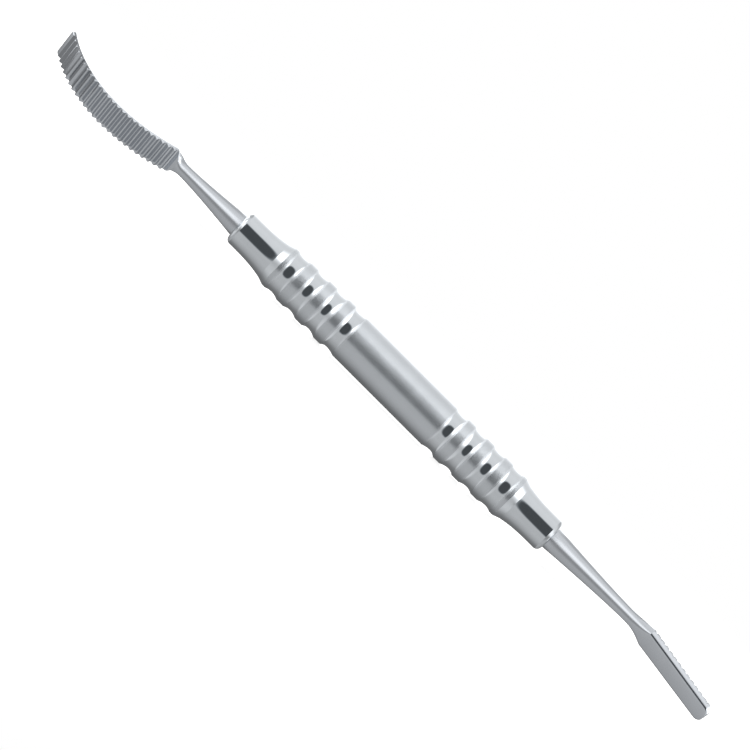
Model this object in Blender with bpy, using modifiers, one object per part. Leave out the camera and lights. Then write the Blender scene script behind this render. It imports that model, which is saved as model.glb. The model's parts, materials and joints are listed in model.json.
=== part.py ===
"""Double-ended bone file, lying at rest.

A hollow turned handle with ringed finger grips holds two one-piece working ends by their tangs.
One carries a long curved blade with cross teeth on its bulging face, the other a short straight
blade with cross teeth on its far face.

The handle lies along X, with the curved blade at -X and the straight one at +X. The part has rolled
on its handle until a blade touches the table, which is the plane Z = 0.
"""

import math
from dataclasses import dataclass

import bmesh
import bpy
from mathutils import Matrix, Vector

# Handle, in metres: the outside from the middle to each end, then the inside

HANDLE_LENGTH = 0.0864
GRIP_RADIUS = 0.00506
CREST_RADIUS = 0.00521
CREST_FALL = 0.00007
GROOVE_COUNT = 4
GROOVE_PITCH = 0.00515
GROOVE_WIDTH = 0.0033
GROOVE_FLOOR_RADIUS = 0.00466
LAST_CREST_WIDTH = 0.0008
NOSE_FLANK = 0.0015
NOSE_LENGTH = 0.0098
NOSE_FOOT_RADIUS = 0.00447
NOSE_RADIUS = 0.00385
NOSE_ROUNDING = 0.0011
NOSE_CURVE = 2.6
HOLLOW_RADIUS = 0.0035
HOLLOW_SHOULDER = 0.0010

# What both working ends share

TANG_RADIUS = 0.0019
TANG_LENGTH = 0.0140
FIT_GAP = 0.0003
SHANK_RADIUS = 0.00252
NECK_RADIUS = 0.00139
SHANK_CURVE = 1.35
FLARE_CURVE = 2.4
EDGE_ROUNDING = 0.0002
TOOTH_PITCH = 0.001374
TOOTH_DEPTH = 0.00062
TOOTH_LAND = 0.00012
TOOTH_FLOOR = 0.0003

# Curved blade and its shank

CURVED_SHANK = 0.0144
CURVED_NECK = 0.00278
CURVED_BEND_RADIUS = 0.0018
CURVED_BEND_DEG = 25.0
CURVED_RUN = 0.0006
CURVED_FLARE = 0.0029
CURVED_LENGTH = 0.0335
CURVED_ROOT_SWEEP = 0.0488
CURVED_TIP_SWEEP = 0.0183
CURVED_ROOT_WIDTH = 0.0062
CURVED_TIP_WIDTH = 0.00675
CURVED_ROOT_THICKNESS = 0.00125
CURVED_TIP_THICKNESS = 0.0008
CURVED_TIP_ROUNDING = 0.0003
CURVED_FIRST_CUT = 0.0002

# Straight blade and its shank

STRAIGHT_SHANK = 0.0209
STRAIGHT_NECK = 0.0020
STRAIGHT_BEND_RADIUS = 0.0110
STRAIGHT_BEND_DEG = 13.6
STRAIGHT_RUN = 0.0017
STRAIGHT_FLARE = 0.0050
STRAIGHT_LENGTH = 0.0190
STRAIGHT_ROOT_WIDTH = 0.0045
STRAIGHT_TIP_WIDTH = 0.0042
STRAIGHT_ROOT_THICKNESS = 0.0023
STRAIGHT_TIP_THICKNESS = 0.0021
STRAIGHT_TIP_ROUNDING = 0.0014
STRAIGHT_FIRST_CUT = 0.00055

# Mesh fineness

HANDLE_SIDES = 32
GROOVE_STEPS = 6
NOSE_STEPS = 6
ROUNDING_STEPS = 4
CORNER_POINTS = 6
SHANK_STEPS = 7
BEND_STEPS = 7
TIP_STEPS = 5
PATH_STEP = 0.0001
ROLL_STEPS = 180
ROLL_HALVINGS = 40
SHARP_ANGLE_DEG = 30
MERGE_DISTANCE = 0.00001

MOUTH = HANDLE_LENGTH / 2


@dataclass
class Blade:
    """A working end: its shank runs out along +X and bends towards +Z, and the blade is wide along Y."""

    name: str
    shank: float
    neck: float
    bend_radius: float
    bend: float
    run: float
    flare: float
    length: float
    root_curvature: float
    tip_curvature: float
    root_width: float
    tip_width: float
    root_thickness: float
    tip_thickness: float
    tip_rounding: float
    first_cut: float
    toothed_side: int

    @property
    def bend_at(self):
        """X of the bend's start, which is where distances along the blade's path are counted from."""
        return MOUTH + self.shank + self.neck

    @property
    def shoulder(self):
        """Distance along the path at which the blade has its full width."""
        return self.bend_radius * self.bend + self.run

    @property
    def tip(self):
        return self.shoulder + self.length

    def slope(self, along):
        """Angle of the path from the handle's axis, in radians."""
        if along < 0.0:
            return 0.0
        if along < self.shoulder:
            return min(along / self.bend_radius, self.bend)
        out = along - self.shoulder
        growth = (self.tip_curvature - self.root_curvature) / self.length
        return self.bend - (self.root_curvature + growth * out / 2) * out

    def frame(self, along):
        """Frame of the path at a distance along it: X runs on along the path, Y across the blade."""
        centre = Vector((self.bend_at + min(along, 0.0), 0.0, 0.0))
        steps = max(0, math.ceil(along / PATH_STEP))
        for step in range(steps):
            angle = self.slope(along * (step + 0.5) / steps)
            centre += Vector((math.cos(angle), 0.0, math.sin(angle))) * (along / steps)
        return Matrix.Translation(centre) @ Matrix.Rotation(-self.slope(along), 4, "Y")

    def part_out(self, along):
        """Share of the blade's length, from its shoulder, that lies before a point of the path."""
        return max(0.0, along - self.shoulder) / self.length

    def width(self, along):
        return self.root_width + (self.tip_width - self.root_width) * self.part_out(along)

    def thickness(self, along):
        return self.root_thickness + (self.tip_thickness - self.root_thickness) * self.part_out(along)

    def section(self, along):
        """Width, thickness and corner radius of the section at a distance along the path."""
        flare_start = self.shoulder - self.flare
        if along <= flare_start:
            radius = shank_radius(self.shank, self.bend_at + along - MOUTH)
            return 2 * radius, 2 * radius, radius
        if along < self.shoulder:
            part = (along - flare_start) / self.flare
            width = 2 * NECK_RADIUS + (self.root_width - 2 * NECK_RADIUS) * part**FLARE_CURVE
            thickness = 2 * NECK_RADIUS + (self.root_thickness - 2 * NECK_RADIUS) * part**FLARE_CURVE
            corner = NECK_RADIUS + (EDGE_ROUNDING - NECK_RADIUS) * part
            return width, thickness, min(corner, thickness / 2, width / 2)
        into_tip = max(0.0, along - self.tip + self.tip_rounding)
        cut_back = self.tip_rounding - math.sqrt(max(0.0, self.tip_rounding**2 - into_tip**2))
        return self.width(along) - 2 * cut_back, self.thickness(along), EDGE_ROUNDING


def shank_radius(length, out):
    """Radius of a shank that tapers in a hollow curve to its neck, at a distance out of the handle."""
    left = max(0.0, 1.0 - out / length)
    return NECK_RADIUS + (SHANK_RADIUS - NECK_RADIUS) * left**SHANK_CURVE


def spread(first, last, count):
    """Evenly spaced values from first up to, but not including, last."""
    return [first + (last - first) * step / count for step in range(count)]


def stations(blade):
    """Path distances and sections of a working end, from the tang's inner end to the blade's tip."""
    mouth = MOUTH + FIT_GAP - blade.bend_at
    tang = (2 * TANG_RADIUS, 2 * TANG_RADIUS, TANG_RADIUS)
    rings = [(MOUTH - TANG_LENGTH - blade.bend_at, tang), (mouth, tang)]
    flare_start = blade.shoulder - blade.flare
    rounding_start = blade.tip - blade.tip_rounding
    outside = spread(mouth, -blade.neck, SHANK_STEPS)
    outside += spread(-blade.neck, min(0.0, flare_start), 1)
    outside += spread(min(0.0, flare_start), blade.shoulder, BEND_STEPS)
    outside += spread(blade.shoulder, rounding_start, math.ceil((rounding_start - blade.shoulder) / TOOTH_PITCH))
    for step in range(TIP_STEPS + 1):
        outside.append(rounding_start + blade.tip_rounding * math.sin(math.pi / 2 * step / TIP_STEPS))
    return rings + [(along, blade.section(along)) for along in outside]


def ring_points(frame, width, thickness, corner):
    """Points of a round-cornered rectangle, which is a regular polygon where the corners meet."""
    points = []
    for quarter, (y_side, z_side) in enumerate(((1, 1), (-1, 1), (-1, -1), (1, -1))):
        centre_y = y_side * (width / 2 - corner)
        centre_z = z_side * (thickness / 2 - corner)
        for step in range(CORNER_POINTS):
            angle = math.pi / 2 * (quarter + (step + 0.5) / CORNER_POINTS)
            y = centre_y + corner * math.cos(angle)
            z = centre_z + corner * math.sin(angle)
            points.append(frame @ Vector((0.0, y, z)))
    return points


def loft_rings(blade):
    return [ring_points(blade.frame(along), *section) for along, section in stations(blade)]


def loft_mesh(name, rings):
    """Closed mesh through rings of equally many points."""
    bm = bmesh.new()
    loops = [[bm.verts.new(point) for point in ring] for ring in rings]
    for near, far in zip(loops, loops[1:]):
        for index in range(len(near)):
            after = (index + 1) % len(near)
            bm.faces.new((near[index], near[after], far[after], far[index]))
    bm.faces.new(loops[0])
    bm.faces.new(loops[-1])
    bmesh.ops.recalc_face_normals(bm, faces=bm.faces)
    mesh = bpy.data.meshes.new(name)
    bm.to_mesh(mesh)
    bm.free()
    return mesh


def cut_mesh(blade):
    """Wedges that cut the blade's teeth, the first one high enough to run out up the shank."""
    bm = bmesh.new()
    opening = TOOTH_PITCH - TOOTH_LAND
    clearance = NECK_RADIUS
    out = blade.first_cut
    while out + opening / 2 <= blade.length:
        along = blade.shoulder + out
        height = blade.thickness(along) / 2
        width_at_top = opening + clearance * (opening - TOOTH_FLOOR) / TOOTH_DEPTH
        wedge = bmesh.ops.create_cube(bm, size=1.0)["verts"]
        turn = blade.frame(along) @ Matrix.Diagonal((1, blade.toothed_side, blade.toothed_side, 1))
        for vert in wedge:
            is_top = vert.co.z > 0
            x = vert.co.x * (width_at_top if is_top else TOOTH_FLOOR)
            y = vert.co.y * 2 * blade.width(along)
            z = height + (clearance if is_top else -TOOTH_DEPTH)
            vert.co = turn @ Vector((x, y, z))
        clearance = TOOTH_LAND / 3
        out += TOOTH_PITCH
    bmesh.ops.recalc_face_normals(bm, faces=bm.faces)
    mesh = bpy.data.meshes.new(blade.name + "_cuts")
    bm.to_mesh(mesh)
    bm.free()
    return mesh


def handle_outline():
    """Distance from the handle's middle and radius of each point of its outside, middle to mouth."""
    nose_start = MOUTH - NOSE_LENGTH
    crest_end = nose_start - NOSE_FLANK
    last_groove = crest_end - LAST_CREST_WIDTH - GROOVE_WIDTH / 2
    points = []
    for groove in range(GROOVE_COUNT):
        centre = last_groove - (GROOVE_COUNT - 1 - groove) * GROOVE_PITCH
        outer_lip = CREST_RADIUS - groove * CREST_FALL
        inner_lip = outer_lip + CREST_FALL if groove else GRIP_RADIUS
        for step in range(GROOVE_STEPS + 1):
            across = 2 * step / GROOVE_STEPS - 1
            lip = inner_lip if across < 0 else outer_lip
            radius = GROOVE_FLOOR_RADIUS + (lip - GROOVE_FLOOR_RADIUS) * across**2
            points.append((centre + across * GROOVE_WIDTH / 2, radius))
    points.append((crest_end, CREST_RADIUS - (GROOVE_COUNT - 1) * CREST_FALL))
    nose_run = NOSE_LENGTH - NOSE_ROUNDING
    for step in range(NOSE_STEPS):
        part = step / NOSE_STEPS
        radius = NOSE_RADIUS + (NOSE_FOOT_RADIUS - NOSE_RADIUS) * (1 - part) ** NOSE_CURVE
        points.append((nose_start + nose_run * part, radius))
    for step in range(ROUNDING_STEPS + 1):
        angle = math.pi / 2 * step / ROUNDING_STEPS
        out = MOUTH - NOSE_ROUNDING * (1 - math.sin(angle))
        points.append((out, NOSE_RADIUS - NOSE_ROUNDING * (1 - math.cos(angle))))
    return points


def bore_outline():
    """Distance from the middle and radius of each point of the handle's inside, mouth to middle."""
    bore_radius = TANG_RADIUS + FIT_GAP
    bore_end = MOUTH - TANG_LENGTH
    return [(MOUTH, bore_radius), (bore_end, bore_radius), (bore_end - HOLLOW_SHOULDER, HOLLOW_RADIUS)]


def new_collection(name):
    collection = bpy.data.collections.new(name)
    bpy.context.scene.collection.children.link(collection)
    return collection


def steel(name, colour, roughness):
    material = bpy.data.materials.new(name)
    material.use_nodes = True
    shader = material.node_tree.nodes["Principled BSDF"]
    shader.inputs["Base Color"].default_value = (*colour, 1.0)
    shader.inputs["Metallic"].default_value = 1.0
    shader.inputs["Roughness"].default_value = roughness
    return material


def new_object(name, mesh, collection, material=None):
    obj = bpy.data.objects.new(name, mesh)
    collection.objects.link(obj)
    if material:
        mesh.materials.append(material)
    return obj


def make_handle(collection):
    """Turned tube, its profile drawn at +X and swept round Z, then laid along X."""
    half = handle_outline()
    inside = bore_outline()
    outline = [(radius, out) for out, radius in reversed(half)]
    outline += [(radius, -out) for out, radius in half]
    outline += [(radius, -out) for out, radius in inside]
    outline += [(radius, out) for out, radius in reversed(inside)]
    mesh = bpy.data.meshes.new("handle")
    edges = [(index, (index + 1) % len(outline)) for index in range(len(outline))]
    mesh.from_pydata([(radius, 0.0, height) for radius, height in outline], edges, [])
    handle = new_object("handle", mesh, collection, steel("satin_steel", (0.60, 0.61, 0.62), 0.32))
    turn = handle.modifiers.new("turned", "SCREW")
    turn.axis = "Z"
    turn.angle = math.tau
    turn.steps = HANDLE_SIDES
    turn.render_steps = HANDLE_SIDES
    turn.use_merge_vertices = True
    turn.merge_threshold = MERGE_DISTANCE
    handle.rotation_euler = (0.0, math.pi / 2, 0.0)
    return handle


def make_working_end(blade, collection, cutters):
    """Forged blank from tang to tip, with the teeth cut across one face."""
    material = steel(blade.name + "_steel", (0.52, 0.54, 0.57), 0.2)
    blank = new_object(blade.name, loft_mesh(blade.name, loft_rings(blade)), collection, material)
    cuts = new_object(blade.name + "_cuts", cut_mesh(blade), cutters)
    cuts.hide_render = True
    cuts.display_type = "WIRE"
    cuts.parent = blank
    teeth = blank.modifiers.new("teeth", "BOOLEAN")
    teeth.operation = "DIFFERENCE"
    teeth.solver = "EXACT"
    teeth.object = cuts
    return blank


def reach(rings, roll):
    """How far below the handle's axis the lowest of the points lies, with the blades rolled so far."""
    cosine, sine = math.cos(roll), math.sin(roll)
    return max(-sine * point.y - cosine * point.z for ring in rings for point in ring)


def rest_roll(rings):
    """Roll about the handle's axis at which a blade first touches the table beside the handle."""
    level, down = math.pi / 2, math.pi
    turn = (down - level) / ROLL_STEPS
    for step in range(ROLL_STEPS + 1):
        roll = level + turn * step
        if reach(rings, roll) > CREST_RADIUS:
            clear, touching = roll - turn, roll
            for _ in range(ROLL_HALVINGS):
                middle = (clear + touching) / 2
                if reach(rings, middle) > CREST_RADIUS:
                    touching = middle
                else:
                    clear = middle
            return clear
    return down


def main():
    for obj in list(bpy.data.objects):
        bpy.data.objects.remove(obj)
    collection = new_collection("bone_file")
    cutters = new_collection("cutters")

    curved = Blade(
        name="curved_file",
        shank=CURVED_SHANK,
        neck=CURVED_NECK,
        bend_radius=CURVED_BEND_RADIUS,
        bend=math.radians(CURVED_BEND_DEG),
        run=CURVED_RUN,
        flare=CURVED_FLARE,
        length=CURVED_LENGTH,
        root_curvature=1 / CURVED_ROOT_SWEEP,
        tip_curvature=1 / CURVED_TIP_SWEEP,
        root_width=CURVED_ROOT_WIDTH,
        tip_width=CURVED_TIP_WIDTH,
        root_thickness=CURVED_ROOT_THICKNESS,
        tip_thickness=CURVED_TIP_THICKNESS,
        tip_rounding=CURVED_TIP_ROUNDING,
        first_cut=CURVED_FIRST_CUT,
        toothed_side=1,
    )
    straight = Blade(
        name="straight_file",
        shank=STRAIGHT_SHANK,
        neck=STRAIGHT_NECK,
        bend_radius=STRAIGHT_BEND_RADIUS,
        bend=math.radians(STRAIGHT_BEND_DEG),
        run=STRAIGHT_RUN,
        flare=STRAIGHT_FLARE,
        length=STRAIGHT_LENGTH,
        root_curvature=0.0,
        tip_curvature=0.0,
        root_width=STRAIGHT_ROOT_WIDTH,
        tip_width=STRAIGHT_TIP_WIDTH,
        root_thickness=STRAIGHT_ROOT_THICKNESS,
        tip_thickness=STRAIGHT_TIP_THICKNESS,
        tip_rounding=STRAIGHT_TIP_ROUNDING,
        first_cut=STRAIGHT_FIRST_CUT,
        toothed_side=-1,
    )

    curved_rings = loft_rings(curved)
    straight_rings = loft_rings(straight)
    roll = rest_roll(curved_rings + straight_rings)
    rolled = Matrix.Rotation(roll, 4, "X")
    turned = rolled @ Matrix.Rotation(math.pi, 4, "Z")
    corners = [turned @ point for ring in curved_rings for point in ring]
    corners += [rolled @ point for ring in straight_rings for point in ring]
    corners += [Vector((0.0, CREST_RADIUS, 0.0)), Vector((0.0, -CREST_RADIUS, 0.0))]
    middle_x = (min(point.x for point in corners) + max(point.x for point in corners)) / 2
    middle_y = (min(point.y for point in corners) + max(point.y for point in corners)) / 2
    axis_at = Vector((-middle_x, -middle_y, CREST_RADIUS))

    handle = make_handle(collection)
    handle.location = axis_at
    axis = bpy.data.objects.new("handle_axis", None)
    collection.objects.link(axis)
    axis.location = axis_at
    axis.rotation_euler = (roll, 0.0, 0.0)
    curved_file = make_working_end(curved, collection, cutters)
    curved_file.parent = axis
    curved_file.rotation_euler = (0.0, 0.0, math.pi)
    straight_file = make_working_end(straight, collection, cutters)
    straight_file.parent = axis
    for obj in (handle, curved_file, straight_file):
        obj.data.shade_smooth()
        obj.data.set_sharp_from_angle(angle=math.radians(SHARP_ANGLE_DEG))


if __name__ == "__main__":
    main()
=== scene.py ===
"""Looks of a double-ended bone file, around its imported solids: turned handle, two toothed files, studio.

Laid out as an add-on and run as a script. Each piece is drawn in the part's own frame, in metres.
"""

import json
import math

import bmesh
import bpy
from mathutils import Matrix, Vector


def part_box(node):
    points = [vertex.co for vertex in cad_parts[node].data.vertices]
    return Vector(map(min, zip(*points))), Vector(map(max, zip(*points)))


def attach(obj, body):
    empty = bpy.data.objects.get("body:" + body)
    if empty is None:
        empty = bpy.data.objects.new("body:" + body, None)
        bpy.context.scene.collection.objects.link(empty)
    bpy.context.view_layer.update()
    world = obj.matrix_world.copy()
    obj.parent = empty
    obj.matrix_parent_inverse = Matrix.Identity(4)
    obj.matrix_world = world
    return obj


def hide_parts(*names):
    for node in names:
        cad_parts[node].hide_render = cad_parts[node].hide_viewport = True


bl_info = {
    "name": "Bone file",
    "version": (1, 0, 0),
    "blender": (4, 5, 0),
    "location": "3D View > Sidebar > Bone file",
    "description": "Dresses the solids of a bone file in satin and polished steel, in a pale studio",
    "category": "Object",
}

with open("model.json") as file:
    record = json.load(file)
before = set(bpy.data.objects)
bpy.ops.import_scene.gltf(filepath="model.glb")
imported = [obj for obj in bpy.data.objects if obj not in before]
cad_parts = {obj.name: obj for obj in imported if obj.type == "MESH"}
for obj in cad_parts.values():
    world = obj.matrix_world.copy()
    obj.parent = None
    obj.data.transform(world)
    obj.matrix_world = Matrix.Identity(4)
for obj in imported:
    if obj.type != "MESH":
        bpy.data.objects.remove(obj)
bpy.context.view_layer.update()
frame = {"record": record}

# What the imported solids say: where the handle's axis lies, and how far the blades have rolled round it

HANDLE_LOW, HANDLE_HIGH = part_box("handle")
AXIS_AT = (HANDLE_LOW + HANDLE_HIGH) / 2
HALF_LENGTH = (HANDLE_HIGH.x - HANDLE_LOW.x) / 2
CREST_RADIUS = (HANDLE_HIGH.z - HANDLE_LOW.z) / 2
BACK_AXIS = Vector(frame["record"]["mounts"][0]["axis"])
ROLL = math.atan2(-BACK_AXIS.y, BACK_AXIS.z)

# Handle

GRIP_RADIUS = 0.00506
CREST_FALL = 0.00007
LAST_CREST_WIDTH = 0.0008
NOSE_FLANK = 0.0015
NOSE_LENGTH = 0.0098
NOSE_FOOT_RADIUS = 0.00447
NOSE_RADIUS = 0.00385
NOSE_ROUNDING = 0.0011
NOSE_CURVE = 3.1
BORE_RADIUS = 0.0022
BORE_DEPTH = 0.0140
HOLLOW_RADIUS = 0.0035
HOLLOW_SHOULDER = 0.0010
LIP_BEVEL = 0.00007
LIP_ANGLE = math.radians(18)
HANDLE_SMOOTH = math.radians(35)
RAIL_RADIUS = 0.001
GROOVE_RIM = 1.0001
TURNED_LINES = (9000.0, 240.0, 240.0)

# Working ends

TANG_RADIUS = 0.0019
TANG_LENGTH = 0.0140
MOUTH_GAP = 0.00003
SHANK_RADIUS = 0.00252
NECK_RADIUS = 0.00139
SHANK_CURVE = 1.35
FLARE_CURVE = 2.4
CORNER_POINTS = 10
SHANK_ROWS = 40
FLARE_ROWS = 24
TIP_ROWS = 8
CLOSEST_ROWS = 1e-6
PATH_STEP = 0.0001
TOOTH_ROUNDING = 0.00004
FILE_SMOOTH = math.radians(38)
GROUND_LINES = (900.0, 5200.0, 5200.0)

CURVED = {
    "name": "curved_file_dressed",
    "node": "curved_file",
    "shank": 0.0144,
    "neck": 0.00278,
    "bend_radius": 0.0018,
    "bend": math.radians(25.0),
    "run": 0.0006,
    "flare": 0.0029,
    "length": 0.0335,
    "root_curvature": 1 / 0.0488,
    "tip_curvature": 1 / 0.0183,
    "root_width": 0.0062,
    "tip_width": 0.00675,
    "root_thickness": 0.00125,
    "tip_thickness": 0.0008,
    "tip_rounding": 0.0003,
    "edge_rounding": 0.0002,
    "first_cut": 0.0002,
    "toothed_side": 1,
    "turn": math.pi,
}
STRAIGHT = {
    "name": "straight_file_dressed",
    "node": "straight_file",
    "shank": 0.0209,
    "neck": 0.0020,
    "bend_radius": 0.0110,
    "bend": math.radians(13.6),
    "run": 0.0017,
    "flare": 0.0050,
    "length": 0.0190,
    "root_curvature": 0.0,
    "tip_curvature": 0.0,
    "root_width": 0.0045,
    "tip_width": 0.0042,
    "root_thickness": 0.0023,
    "tip_thickness": 0.0021,
    "tip_rounding": 0.0014,
    "edge_rounding": 0.00062,
    "first_cut": 0.00055,
    "toothed_side": -1,
    "turn": 0.0,
}

# Finishes: how fine the smudges are, and how far they shift a colour, as a share

SMUDGE_SCALE = 260.0
SMUDGE_SHIFT = 0.06

# Camera, from the photograph: its frame is 750 pixels wide, and a pixel is 0.196 mm at the handle

PIXEL = 0.000196
FRAME_PIXELS = 750
PIXELS_AWAY = 3101
SENSOR_WIDTH = 36.0
LEAN_TO_VIEW = math.radians(40)
TARGET_ALONG = -18.7 * PIXEL
TARGET_DOWN = 9.41 * PIXEL

# What reflections see: degrees round the handle's axis from the camera's side over the top, and level

WHITE = (1.0, 1.0, 1.0, 1.0)
# At negative angles, below the horizon, these three tables are a painted reflection of the floor with painted
# shade, darkening from the front past straight under to behind the part
ROOM_LEVELS = (
    (-180, 0.22), (-137, 0.24), (-125, 0.27), (-115, 0.33), (-106, 0.39), (-98, 0.48), (-90, 0.56),
    (-82, 0.62), (-68, 0.71), (-55, 0.76), (-35, 0.76), (0, 0.82), (30, 1.0), (48, 1.08), (64, 1.13),
    (84, 1.16), (108, 1.12), (118, 1.14), (130, 1.24), (140, 1.45), (150, 1.75), (165, 2.2), (180, 2.8),
)
SIDE_LEVELS = (
    (-180, 0.3), (-137, 0.5), (-110, 0.9), (-90, 1.0), (-64, 1.0), (-44, 0.95), (-20, 0.85), (-3, 0.78),
    (6, 0.88), (15, 1.15), (20, 1.5), (29, 2.4), (40, 3.5), (60, 3.3), (83, 3.0), (102, 2.3), (117, 1.9),
    (126, 2.1), (136, 2.6), (150, 3.2), (180, 3.4),
)
SHANK_LEVELS = (
    (-180, 0.35), (-127, 0.45), (-106, 0.58), (-90, 0.64), (-64, 0.67), (-50, 0.68), (-42, 0.65), (-31, 0.55),
    (-20, 0.46), (-9, 0.46), (-2, 0.66), (8, 1.3), (18, 1.72), (29, 1.78), (39, 1.6), (50, 1.28), (62, 1.13),
    (74, 1.1), (86, 1.02), (98, 0.84), (112, 0.7), (124, 0.72), (138, 0.86), (160, 1.4), (180, 2.0),
)

# Where a reflection's direction turns to the sides and to the ends, as its part along X, and the ends'
# levels from low to high

SIDES_FROM = (0.42, 0.58)
ENDS_FROM = (0.8, 0.92)
ENDS_RISE = (-0.15, 0.25)
ENDS_LEVELS = (1.1, 1.85)

# Dark opening in front, which makes the dark marks in the grooves and on the noses

OPENING_MIDDLE = math.radians(15.5)
OPENING_HALF_HEIGHT = math.radians(32)
OPENING_HALF_WIDTH = math.sin(math.radians(29))
OPENING_TINT = (0.9, 0.97, 1.02, 1.0)
OPENING_CORNERS = 3.0
OPENING_BLUR = 0.45

# Reflectors round the shanks: where they start from the handle's middle, and where they end and how wide

REFLECTOR_SIDES = 48
REFLECTOR_START = 0.0478
REFLECTOR_RADIUS = 0.025
REFLECTOR_ENDS = ((-0.063, 0.025), (0.067, 0.008))

# Level cards by the blades: name, lowest and highest X and Y, height, setting of the level, faces down

OVER, UNDER = 0.040, -0.004
CARDS = (
    ("over_tip", (-0.112, -0.005), (-0.086, 0.030), OVER, "behind_level", True),
    ("over_curved", (-0.086, -0.005), (-0.064, 0.030), OVER, "blade_level", True),
    ("over_straight", (0.069, -0.005), (0.112, 0.013), OVER, "blade_level", True),
    ("behind_straight", (0.069, 0.013), (0.112, 0.120), OVER, "behind_level", True),
    # The two cards under the curved blade are painted shade: the floor below it, darker under the tip, as
    # reflections see it in place of the real floor
    ("under_curved", (-0.0842, -0.016), (-0.0625, 0.012), UNDER, "under_shade_level", False),
    ("under_tip", (-0.100, -0.016), (-0.0842, 0.012), UNDER, "tip_shade_level", False),
)

# Floor and lamp

FLOOR_REACH = 4.0
FLOOR_DROP = 0.00002
FLOOR_FADE = (0.24, 0.42)
FLOOR_ROUGHNESS = 0.1
LAMP_HEIGHT = 0.55
LAMP_SIZE = (1.4, 1.3)

WELD = 1e-7


# Small helpers for node trees and meshes


def feed(tree, socket, value):
    """Links an output to the socket, or sets the socket's own value."""
    if isinstance(value, bpy.types.NodeSocket):
        tree.links.new(value, socket)
    else:
        socket.default_value = value


def node(tree, kind, inputs=None, **settings):
    """Adds a node with its settings, and feeds its inputs, which are named or numbered."""
    made = tree.nodes.new(kind)
    for name, value in settings.items():
        setattr(made, name, value)
    for name, value in (inputs or {}).items():
        feed(tree, made.inputs[name], value)
    return made


def calc(tree, operation, *values):
    """Output of a maths node."""
    made = tree.nodes.new("ShaderNodeMath")
    made.operation = operation
    for socket, value in zip(made.inputs, values):
        feed(tree, socket, value)
    return made.outputs[0]


def remap(tree, value, come, go=(0.0, 1.0), **settings):
    """Output of a node that takes one range to another and holds beyond its ends."""
    inputs = {"Value": value, "From Min": come[0], "From Max": come[1], "To Min": go[0], "To Max": go[1]}
    return node(tree, "ShaderNodeMapRange", inputs, **settings).outputs[0]


def nearest_repeat(tree, along, first, pitch, count):
    """Number of the repeat that lies nearest, and the distance from its middle in pitches."""
    beyond = calc(tree, "DIVIDE", calc(tree, "SUBTRACT", along, first), pitch)
    last = calc(tree, "SUBTRACT", count, 1.0)
    nearest = calc(tree, "MINIMUM", calc(tree, "MAXIMUM", calc(tree, "ROUND", beyond), 0.0), last)
    return nearest, calc(tree, "SUBTRACT", beyond, nearest)


def new_tree(name, sockets):
    """Geometry node tree with a geometry input and output, and the named inputs."""
    tree = bpy.data.node_groups.new(name, "GeometryNodeTree")
    tree.interface.new_socket("Geometry", in_out="INPUT", socket_type="NodeSocketGeometry")
    for label, kind in sockets:
        tree.interface.new_socket(label, in_out="INPUT", socket_type=kind)
    tree.interface.new_socket("Geometry", in_out="OUTPUT", socket_type="NodeSocketGeometry")
    given = tree.nodes.new("NodeGroupInput").outputs
    result = tree.nodes.new("NodeGroupOutput").inputs["Geometry"]
    return tree, given, result


def plain_mesh(obj):
    """Replaces an object's mesh by what its modifiers make of it, and removes them."""
    bpy.context.view_layer.update()
    mesh = bpy.data.meshes.new_from_object(obj.evaluated_get(bpy.context.evaluated_depsgraph_get()))
    obj.modifiers.clear()
    obj.data = mesh
    mesh.name = obj.name


def run_tree(obj, tree, values):
    """Runs a geometry node tree on an object, with its inputs set by their identifiers."""
    modifier = obj.modifiers.new(tree.name, "NODES")
    modifier.node_group = tree
    for item in tree.interface.items_tree:
        if item.in_out == "INPUT" and item.name in values:
            modifier[item.identifier] = values[item.name]
    plain_mesh(obj)


def new_object(name, data):
    obj = bpy.data.objects.new(name, data)
    bpy.context.scene.collection.objects.link(obj)
    return obj


def close_up(mesh, smooth_angle):
    """Welds seams, turns the faces outwards and shades them smooth between sharp edges."""
    bm = bmesh.new()
    bm.from_mesh(mesh)
    bmesh.ops.remove_doubles(bm, verts=bm.verts, dist=WELD)
    bmesh.ops.recalc_face_normals(bm, faces=bm.faces)
    bm.to_mesh(mesh)
    bm.free()
    mesh.shade_smooth()
    mesh.set_sharp_from_angle(angle=smooth_angle)


# Finishes


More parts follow.
